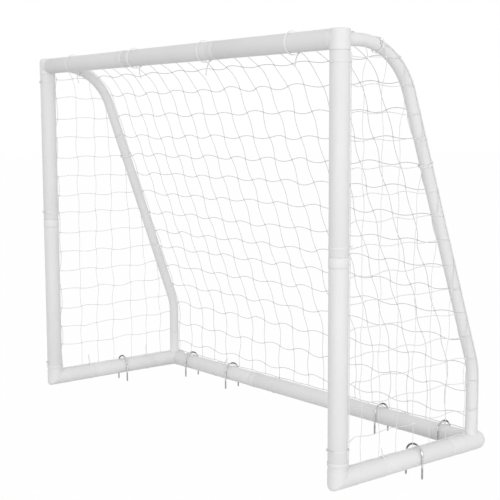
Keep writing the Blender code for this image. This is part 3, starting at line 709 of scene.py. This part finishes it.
# Netting's edge on the posts and bars; a wave is its height and its radians per metre.
EDGE_OFFSET = TUBE_RADIUS + 0.0026
EDGE_TURN = math.radians(38)
ROOF_EDGE_TURN = math.radians(41)
POST_RAMP = 0.045
BAR_EDGE_REACH = 0.935
ROOF_EDGE_REACH = 0.8835
SIDE_EDGE_STOP = 0.02
BACK_BOTTOM = (0.7010, 0.0680)
PRESSED_EDGE = (0.6984, 0.0638)
PRESS_WIDTH = 0.014
REAR_STAKES = (-0.800, -0.479, 0.495, 0.819)
SIDE_BOTTOM_Z = BAR_Z + EDGE_OFFSET
CROSSBAR_WAVE = (0.0012, 61)
REAR_WAVE = (0.0012, 47)
POST_WAVE = (0.0006, 53)
SIDE_WAVE = (0.0008, 57)


def wrap_at(mark):
    """How far round a stay, from its back to its outer side, the netting's edge cord lies."""
    return float(np.interp(mark, WRAP_TURN, WRAP_ANGLES))


def waved(wave, place):
    """How far an edge cord strays from its line at a place along it."""
    height, turns = wave
    return height * math.sin(place * turns)


def back_point(x, distance):
    """A place on the back netting, which wraps round the stays at its sides."""
    foot, outward = STAY.at(distance)
    beyond = abs(x) - HALF_SPAN
    reach = WRAP_RADIUS
    if beyond > 0:
        angle = min(beyond / WRAP_RADIUS, wrap_at(distance))
        reach = WRAP_RADIUS * math.cos(angle)
        x = math.copysign(HALF_SPAN + WRAP_RADIUS * math.sin(angle), x)
    flat = foot + outward * reach
    return Vector((x, flat.x, flat.y))


def side_point(side, y, z):
    """A place on a side's netting: in the posts' plane at the front, and over the outside of the stay."""
    mark, inside = STAY.nearest(y, z)
    if inside >= 0:
        share = max(0.0, 1 - inside / SIDE_RAMP)
        share = share * share * (3 - 2 * share)
        front = max(0.0, 1 - (y - EDGE_OFFSET * math.cos(EDGE_TURN)) / POST_RAMP)
        outward = max(WRAP_RADIUS * share, EDGE_OFFSET * math.sin(EDGE_TURN) * front)
        return Vector((side * (HALF_SPAN + outward), y, z))
    angle = min(-inside / WRAP_RADIUS, math.pi / 2 - wrap_at(mark))
    foot, outward = STAY.at(mark)
    flat = foot + outward * (WRAP_RADIUS * math.sin(angle))
    return Vector((side * (HALF_SPAN + WRAP_RADIUS * math.cos(angle)), flat.x, flat.y))


def edge_place(start, step):
    """Where a side's cord, followed from start by small steps, reaches the edge cord behind the stay."""
    place = Vector(start)
    mark, inside = STAY.nearest(*place)
    while inside > WRAP_RADIUS * (wrap_at(mark) - math.pi / 2):
        place += Vector(step)
        mark, inside = STAY.nearest(*place)
    return place


def hermite(first, second, first_way, second_way, share):
    """A place on the smooth line between two knots."""
    a, b = share * share * (3 - 2 * share), share * (1 - share)
    reach = (second - first).length
    return first * (1 - a) + second * a + (first_way * (1 - share) - second_way * share) * (b * reach)


def cord_line(knots, ways):
    """Flat places along a cord through its knots, and how far each is from the nearest knot."""
    places, gaps = [], []
    for first, second, first_way, second_way in zip(knots, knots[1:], ways, ways[1:]):
        length = (second - first).length
        for share in CELL_STEPS:
            places.append(hermite(first, second, first_way, second_way, share))
            gaps.append(min(share, 1 - share) * length)
    return places + [knots[-1]], gaps + [0.0]


class Panel:
    """A netting panel: knots on a loose grid, turned one way and the other by turns, and their cords."""

    def __init__(self, columns, rows, to_space, turns, seed):
        self.columns, self.rows, self.to_space, self.turns = columns, rows, to_space, turns
        self.random = random.Random(seed)
        self.cords = []
        self.knots = {}

    def knot(self, i, j):
        """A knot's flat place, and the turn there of its row and of its column."""
        if (i, j) not in self.knots:
            jitter = Vector((self.random.gauss(0, KNOT_JITTER), self.random.gauss(0, KNOT_JITTER)))
            way = 1 if (i + j) % 2 else -1
            turns = [way * turn + self.random.gauss(0, TURN_JITTER) for turn in self.turns]
            self.knots[i, j] = Vector((self.columns[i], self.rows[j])) + jitter, turns
        return self.knots[i, j]

    def cord(self, numbers, upright, start, end):
        """A cord from a start through the numbered knots to an end."""
        way = Vector((0, 1)) if upright else Vector((1, 0))
        knots, ways = [Vector(start)], [way]
        for number in numbers:
            place, turns = self.knot(*number)
            knots.append(place)
            ways.append(Matrix.Rotation(turns[upright], 2) @ way)
        places, gaps = cord_line(knots + [Vector(end)], ways + [way])
        line = [self.to_space(*place) for place in places]
        radius = TWINE_RADIUS * (COLUMN_THINNESS if upright else 1.0)
        radii = [radius * (1 + KNOT_SWELL * math.exp(-(gap / KNOT_REACH) ** 2)) for gap in gaps]
        self.cords.append(sweep(line, radii, CORD_SEGMENTS, CORD_PITCH))

    def edge(self, line, radius=EDGE_RADIUS):
        """An edge cord through places in space."""
        self.cords.append(sweep(line, radius, CORD_SEGMENTS, CORD_PITCH))


def make_back_net(material):
    """The back: rows between the stays, columns between the bars, and cords along both bars."""
    panel = Panel(BACK_COLUMNS, BACK_ROWS, back_point, BACK_TURNS, BACK_SEED)
    for j, row in enumerate(BACK_ROWS):
        turn = wrap_at(row) if row >= STAY_CORD_START else ROOF_WRAP
        edge = HALF_SPAN + WRAP_RADIUS * turn
        panel.cord([(i, j) for i in range(len(BACK_COLUMNS))], False, (-edge, row), (edge, row))
    bottom = STAY.distance_at_height(BACK_BOTTOM[1])
    for i, column in enumerate(BACK_COLUMNS):
        panel.cord([(i, j) for j in range(len(BACK_ROWS))], True, (column, COLUMN_START), (column, bottom))
    marks = np.arange(-BAR_EDGE_REACH, BAR_EDGE_REACH + EDGE_STEP / 2, EDGE_STEP)
    top_y = EDGE_OFFSET * math.cos(ROOF_EDGE_TURN)
    top_z = CROSSBAR_HEIGHT + EDGE_OFFSET * math.sin(ROOF_EDGE_TURN)
    panel.edge([(x, top_y + waved(CROSSBAR_WAVE, x), top_z) for x in marks if abs(x) < ROOF_EDGE_REACH])
    places = []
    for x in marks:
        press = max(math.exp(-((x - stake) / PRESS_WIDTH) ** 2) for stake in REAR_STAKES)
        y = BACK_BOTTOM[0] + (PRESSED_EDGE[0] - BACK_BOTTOM[0]) * press
        z = BACK_BOTTOM[1] + (PRESSED_EDGE[1] - BACK_BOTTOM[1]) * press
        places.append((x, y, z + (1 - press) * waved(REAR_WAVE, x)))
    panel.edge(places)
    mesh = joined("netting_back", panel.cords)
    add_piece("netting_back", mesh, material, ["net_roof", "net_back", "net_foot"])


def make_side_net(label, side, material):
    """A side: rows from post to stay, columns from ground bar to stay, and cords along all three."""
    columns, rows = SIDE_COLUMNS[label], (LOWEST_ROW[label],) + SIDE_ROWS
    panel = Panel(columns, rows, lambda y, z: side_point(side, y, z), SIDE_TURNS, SIDE_SEEDS[label])
    front = EDGE_OFFSET * math.cos(EDGE_TURN)
    for i, column in enumerate(columns):
        top = edge_place((column, rows[0]), (0, SEARCH_STEP))
        numbers = [(i, j) for j, row in enumerate(rows) if row < top.y - KNOT_MARGIN]
        lean = TOP_LEAN if column < LEAN_DEPTH else 0.0
        top = edge_place(panel.knot(*numbers[-1])[0], (-SEARCH_STEP * lean, SEARCH_STEP))
        panel.cord(numbers, True, (column, SIDE_BOTTOM_Z), top)
    for j, row in enumerate(rows):
        last = edge_place((front, row), (SEARCH_STEP, 0))
        numbers = [(i, j) for i, column in enumerate(columns) if column < last.x - KNOT_MARGIN]
        panel.cord(numbers, False, (front, row), last)
    x = side * (HALF_SPAN + EDGE_OFFSET * math.sin(EDGE_TURN))
    heights = np.arange(SIDE_BOTTOM_Z, CROSSBAR_HEIGHT - EDGE_OFFSET, EDGE_STEP)
    panel.edge([(x, front + waved(POST_WAVE, z), z) for z in heights])
    depths = np.arange(front, BASE_DEPTH - SIDE_EDGE_STOP, EDGE_STEP)
    panel.edge([(side * HALF_SPAN, y, SIDE_BOTTOM_Z + waved(SIDE_WAVE, y)) for y in depths])
    marks = np.arange(STAY_CORD_START, STAY.distance_at_height(SIDE_BOTTOM_Z), EDGE_STEP)
    panel.edge([back_point(side * (HALF_SPAN + WRAP_RADIUS * wrap_at(mark)), mark) for mark in marks],
               STAY_CORD_RADIUS)
    mesh = joined("netting_" + label, panel.cords)
    add_piece("netting_" + label, mesh, material, ["net_" + label])


# One twine in two tones: the back netting's copy is painted darker, as painted shade, and the sides' copy
# lighter, as painted light.
back_twine_shaded = twine("back_twine_shaded", 0.87, 0.66)
side_twine_lit = twine("side_twine_lit", 0.96, 0.88)
make_back_net(back_twine_shaded)
for label, side in SIDES:
    make_side_net(label, side, side_twine_lit)

# Cable ties: a strap round a tube and the netting's edge, its head, and the loose end of the strap.
STRAP_HALF_WIDTH = 0.0032
STRAP_HALF_THICKNESS = 0.00045
STRAP_SECTION = ((1.0, 0.35), (0.86, 1.0), (0.0, 1.0), (-0.86, 1.0), (-1.0, 0.35), (-1.0, -0.35),
                 (-0.86, -1.0), (0.0, -1.0), (0.86, -1.0), (1.0, -0.35))
HEAD_HALF = Vector((0.0046, 0.0040, 0.0032))
HEAD_ROUNDING = 0.0012
HEAD_SEGMENTS = 24
HEAD_SHIFT = 0.001
HEAD_LIFT = 0.0008
LOOP_STEPS = 64
TAIL_STEPS = 14
TAIL_TIP = 0.5
TAIL_BEND = 0.45
TIE_GAP = 0.0001
LOOSE = 0.0042
LOOSE_TILT = math.radians(19)
TIE_RADIUS = TUBE_RADIUS - SKIN + TIE_GAP + STRAP_HALF_THICKNESS
LOOSE_RADIUS = TIE_RADIUS + LOOSE + 0.0012
STAY_TIE_RADIUS = WRAP_RADIUS + STAY_CORD_RADIUS + TIE_GAP + STRAP_HALF_THICKNESS
CORD_RISE = EDGE_RADIUS + TIE_GAP + STRAP_HALF_THICKNESS

# Each tie's place along its tube, its head's angle in degrees and its tail's tip.
CROSSBAR_TIES = ((-0.722, -45, (0.0292, -0.0832, 0.0)), (-0.233, -45, (0.0332, -0.0810, 0.0)),
                 (0.233, -45, (0.0094, -0.0889, 0.0)), (0.722, -45, (0.0131, -0.0785, 0.0)))
POST_TIES = {"left": ((0.105, 141, (-0.046, -0.022, 0.004)), (0.806, 141, (-0.043, -0.020, 0.004)),
                      (1.395, 141, (-0.044, -0.018, 0.004))),
             "right": ((0.134, 138, (-0.044, -0.024, 0.004)), (0.803, -42, (0.040, -0.022, 0.004)),
                       (1.393, 175, (-0.045, -0.012, 0.004)))}
SIDE_TIES = {"left": ((0.186, 26, (0.0786, -0.0090, 0.0)), (0.508, 32, (0.0834, 0.0006, 0.0))),
             "right": ((0.208, 28, (0.0655, -0.0019, 0.0)),)}
REAR_TIES = ((-0.845, -62, (0.045, -0.022, 0.004)), (-0.589, -62, (0.066, -0.010, 0.024)),
             (-0.161, -62, (0.042, -0.022, -0.004)), (0.230, -62, (0.043, -0.024, 0.0)),
             (0.600, -62, (0.044, -0.020, 0.003)))
STAY_TIES = ((0.171, 100, (-0.014, 0.027, 0.003)), (0.649, 110, (-0.016, 0.026, 0.002)))

# Stakes: a wire U over a ground bar. A leg's rings start at its tip, where the first two are thinner.
STAKE_WIRE = 0.0035
STAKE_HALF_WIDTH = TUBE_RADIUS + 0.0006 + STAKE_WIRE
STAKE_ARCH = 0.086 - STAKE_WIRE - STAKE_HALF_WIDTH
STAKE_TIP = -0.037
STAKE_LEG = (STAKE_TIP, STAKE_TIP + 0.0012, STAKE_TIP + 0.006, 0.0, 0.02)
STAKE_TAPER = (0.35 * STAKE_WIRE, 0.7 * STAKE_WIRE)
STAKE_ARCH_STEPS = 32
STAKE_LENGTH = 2 * (STAKE_ARCH - STAKE_TIP) + math.pi * STAKE_HALF_WIDTH
STAKES = {"stake_left": (-HALF_SPAN, 0.372), "stake_right": (HALF_SPAN, 0.372)}
STAKES.update(("stake_rear_%d" % number, (x, BASE_DEPTH)) for number, x in enumerate(REAR_STAKES, start=1))

# Where the wire's colour changes, counted along it: the darker feet, and the painted dark reflection on the
# bend.
STAKE_FOOT = 0.041
SIDE_STAKE_DARK_REFLECTION = (0.098, 0.155)
REAR_STAKE_DARK_REFLECTION = (0.136, 0.166)


def ribbon(line, across, closed=False, tip=1.0):
    """A flat strap along a line; across is the way of its width, at every place or at each."""
    line = np.asarray(line, float)
    widths = np.broadcast_to(np.asarray(across, float), line.shape)
    tangents = np.roll(line, -1, axis=0) - np.roll(line, 1, axis=0) if closed else np.gradient(line, axis=0)
    points = []
    for index, (centre, tangent) in enumerate(zip(line, tangents)):
        outward = np.cross(tangent, widths[index])
        outward /= np.linalg.norm(outward)
        share = tip if index == len(line) - 1 and not closed else 1.0
        for width, thickness in STRAP_SECTION:
            points.append(centre + widths[index] * (width * STRAP_HALF_WIDTH * share)
                          + outward * (thickness * STRAP_HALF_THICKNESS))
    rings = numbered(len(line), len(STRAP_SECTION))
    return points, bands(rings, closed) + ([] if closed else ends(rings))


def rounded_box(centre, axes):
    """A tie's head, a box with rounded edges, drawn as a ball whose eighths are moved apart."""
    count = HEAD_SEGMENTS // 2
    points, rings = [], []
    for ring in range(count + 1):
        polar = math.pi * ring / count
        pole = ring in (0, count)
        rings.append([])
        for step in range(1 if pole else HEAD_SEGMENTS):
            turn = 2 * math.pi * (step + 0.5) / HEAD_SEGMENTS
            across = math.sin(polar)
            ball = Vector((across * math.cos(turn), across * math.sin(turn), math.cos(polar)))
            place = Vector((0, 0, 0))
            for k in range(3):
                sign = 0 if pole and k < 2 else math.copysign(1, ball[k])
                place += axes[k] * (sign * (HEAD_HALF[k] - HEAD_ROUNDING) + ball[k] * HEAD_ROUNDING)
            rings[-1].append(len(points))
            points.append(centre + place)
        if pole:
            rings[-1] *= HEAD_SEGMENTS
    return points, bands(rings)


def tie(name, centre, axis, toward, head, tail, material, crown=EDGE_OFFSET + CORD_RISE, radius=TIE_RADIUS,
        looseness=0.0, tilt=0.0, packed=True):
    """A cable tie round a tube.

    The loop lies on the tube and runs straight from it over the netting's edge cord, to its crown. A loose
    loop is wider, is moved that way, and is tilted. The head's angle is counted from that side, and the tail
    is the loose end's tip, from the tube's axis, in the loop's two directions and along the tube. A packed
    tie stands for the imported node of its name.
    """
    other = axis.cross(toward)
    middle = centre + toward * looseness
    lean = math.acos(min(1.0, radius / crown))

    def on_loop(angle, lift=0.0):
        near = abs(math.remainder(angle, 2 * math.pi))
        reach = radius / math.cos(max(0.0, lean - near)) + lift
        return middle + (toward * math.cos(angle) + other * math.sin(angle)) * reach

    angles = [2 * math.pi * step / LOOP_STEPS for step in range(LOOP_STEPS)]
    across = [axis * math.cos(tilt) - (toward * math.cos(angle) + other * math.sin(angle)) * math.sin(tilt)
              for angle in angles]
    loop = ribbon([on_loop(angle) for angle in angles], across, closed=True)
    angle = math.radians(head)
    root = on_loop(angle, 2 * STRAP_HALF_THICKNESS)
    tip = centre + toward * tail[0] + other * tail[1] + axis * tail[2]
    along = (other * math.cos(angle) - toward * math.sin(angle)).normalized()
    if along.dot(tip - root) < 0:
        along = -along
    outward = (root - middle).normalized()
    bend = root + along * (TAIL_BEND * (tip - root).length)
    path = []
    for step in range(TAIL_STEPS + 1):
        share = step / TAIL_STEPS
        path.append((1 - share) ** 2 * root + 2 * share * (1 - share) * bend + share ** 2 * tip)
    block = rounded_box(root + along * HEAD_SHIFT + outward * HEAD_LIFT, (along, axis, outward))
    mesh = joined(name, [loop, ribbon(path, axis, tip=TAIL_TIP), block])
    if packed:
        add_piece(name + "_strap", mesh, material, [name])
    else:
        add_piece(name, mesh, material)


def make_ties(material, post_tie_shaded_material):
    """The ties, at the places the photograph shows."""
    for number, (x, head, tail) in enumerate(CROSSBAR_TIES, start=1):
        tie("tie_crossbar_%d" % number, Vector((x, 0, CROSSBAR_HEIGHT)), RIGHT, BACK, head, tail, material,
            LOOSE_RADIUS, LOOSE_RADIUS, LOOSE, LOOSE_TILT)
    for label, side in SIDES:
        flat = side * EDGE_TURN
        toward = BACK * math.cos(flat) + RIGHT * math.sin(flat)
        for number, (z, head, tail) in enumerate(POST_TIES[label], start=1):
            turned = Matrix.Rotation(flat, 3, "Z") @ Vector(tail)
            tie("tie_post_%s_%d" % (label, number), Vector((side * HALF_SPAN, 0, z)), UP, toward,
                head + math.degrees(flat), turned, post_tie_shaded_material)
    for label, side in SIDES:
        for number, (y, head, tail) in enumerate(SIDE_TIES[label], start=1):
            centre = Vector((side * HALF_SPAN, y, BAR_Z))
            tie("tie_side_%s_%d" % (label, number), centre, BACK, UP, head, tail, material)
    edge = Vector((0, BACK_BOTTOM[0] - BASE_DEPTH, BACK_BOTTOM[1] - BAR_Z))
    for number, (x, head, tail) in enumerate(REAR_TIES, start=1):
        tie("tie_rear_%d" % number, Vector((x, BASE_DEPTH, BAR_Z)), RIGHT, edge.normalized(), head, tail,
            material, edge.length + CORD_RISE)
    for label, side in SIDES:
        for number, (mark, head, tail) in enumerate(STAY_TIES, start=1):
            foot, outward = STAY.at(mark)
            ahead = STAY.at(mark + AHEAD)[0] - STAY.at(mark - AHEAD)[0]
            axis = Vector((0, ahead.x, ahead.y)).normalized()
            tie("tie_stay_%s_%d" % (label, number), Vector((side * HALF_SPAN, foot.x, foot.y)), axis,
                Vector((0, outward.x, outward.y)), head, tail, material, STAY_TIE_RADIUS, STAY_TIE_RADIUS,
                packed=False)


def make_stakes(side_material, rear_material):
    """The wire stakes; each rides on its own body."""
    for name, (x, y) in STAKES.items():
        span, material = (RIGHT, side_material) if abs(x) == HALF_SPAN else (BACK, rear_material)
        foot = Vector((x, y, 0))
        line = [foot - span * STAKE_HALF_WIDTH + UP * z for z in STAKE_LEG]
        for step in range(STAKE_ARCH_STEPS + 1):
            angle = math.pi - math.pi * step / STAKE_ARCH_STEPS
            line.append(foot + span * (STAKE_HALF_WIDTH * math.cos(angle))
                        + UP * (STAKE_ARCH + STAKE_HALF_WIDTH * math.sin(angle)))
        line += [point + span * (2 * STAKE_HALF_WIDTH) for point in line[len(STAKE_LEG) - 1::-1]]
        full = len(line) - 2 * len(STAKE_TAPER)
        radii = [*STAKE_TAPER, *[STAKE_WIRE] * full, *STAKE_TAPER[::-1]]
        mesh = joined(name, [sweep(line, radii, WIRE_SEGMENTS)])
        add_piece(name + "_wire", mesh, material, [name], name)


# The posts' ties are a darker copy of the tie plastic, as painted shade, so that they fade into the posts.
make_ties(moulded_plastic("tie_plastic", 0.90, 0.44), moulded_plastic("post_tie_shaded_plastic", 0.86, 0.40))
make_stakes(galvanised("stake_steel", *SIDE_STAKE_DARK_REFLECTION), galvanised("rear_stake_steel", *REAR_STAKE_DARK_REFLECTION))

# Lights and floor; a light is its place and its power.
WHITE = (1, 1, 1, 1)
AMBIENT = 0.74
FLOOR_TONE = 0.70
FLOOR_GLOW = 0.985
FLOOR_REACH = 40.0
LIGHT_WIDTH = 7.5
LIGHT_HEIGHT = 2.6
LIGHT_TARGET = Vector((0, 0, 0.7))
LIGHTS = {"key": (Vector((13.6, -2.0, 1.4)), 290), "fill": (Vector((8.5, -10.8, 1.4)), 345)}


def white_to_camera(tree):
    """A factor that is 1 for camera, glossy and transmission rays."""
    path = add_node(tree, "ShaderNodeLightPath")
    total = path.outputs["Is Camera Ray"]
    for name in ("Is Glossy Ray", "Is Transmission Ray"):
        larger = add_node(tree, "ShaderNodeMath", {0: total, 1: path.outputs[name]}, operation="MAXIMUM")
        total = larger.outputs[0]
    return total


def add_world():
    """Soft light from everywhere above, and white behind the goal."""
    world = bpy.data.worlds.new("studio")
    bpy.context.scene.world = world
    world.use_nodes = True
    tree = world.node_tree
    tree.nodes.clear()
    share = white_to_camera(tree)
    ambient = add_node(tree, "ShaderNodeBackground", {"Color": WHITE, "Strength": AMBIENT})
    white = add_node(tree, "ShaderNodeBackground", {"Color": WHITE})
    mix = add_node(tree, "ShaderNodeMixShader", {0: share, 1: ambient.outputs[0], 2: white.outputs[0]})
    add_node(tree, "ShaderNodeOutputWorld", {0: mix.outputs[0]})


def add_floor():
    """A plain floor, white to the camera, that keeps a faint shadow."""
    mesh = bpy.data.meshes.new("floor")
    corners = [(FLOOR_REACH * x, FLOOR_REACH * y, 0) for x, y in ((-1, -1), (1, -1), (1, 1), (-1, 1))]
    mesh.from_pydata(corners, [], [(0, 1, 2, 3)])
    floor = add_object("floor", mesh)
    material = Material("floor")
    tree = material.tree
    tree.nodes.clear()
    matte = add_node(tree, "ShaderNodeBsdfDiffuse", {"Color": (FLOOR_TONE, FLOOR_TONE, FLOOR_TONE, 1)})
    glow = add_node(tree, "ShaderNodeEmission")
    white = white_to_camera(tree)
    share = add_node(tree, "ShaderNodeMath", {0: white, 1: FLOOR_GLOW}, operation="MULTIPLY").outputs[0]
    mix = add_node(tree, "ShaderNodeMixShader", {0: share, 1: matte.outputs[0], 2: glow.outputs[0]})
    add_node(tree, "ShaderNodeOutputMaterial", {0: mix.outputs[0]})
    mesh.materials.append(material.data)


def add_light(name, place, power):
    """A soft light that is wide and low."""
    data = bpy.data.lights.new(name, "AREA")
    data.shape = "RECTANGLE"
    data.size = LIGHT_WIDTH
    data.size_y = LIGHT_HEIGHT
    data.energy = power
    light = add_object(name, data)
    light.location = place
    light.rotation_euler = (LIGHT_TARGET - place).to_track_quat("-Z", "Y").to_euler()


bpy.context.scene.view_settings.view_transform = "Standard"
add_world()
add_floor()
for name, (place, power) in LIGHTS.items():
    add_light(name, place, power)
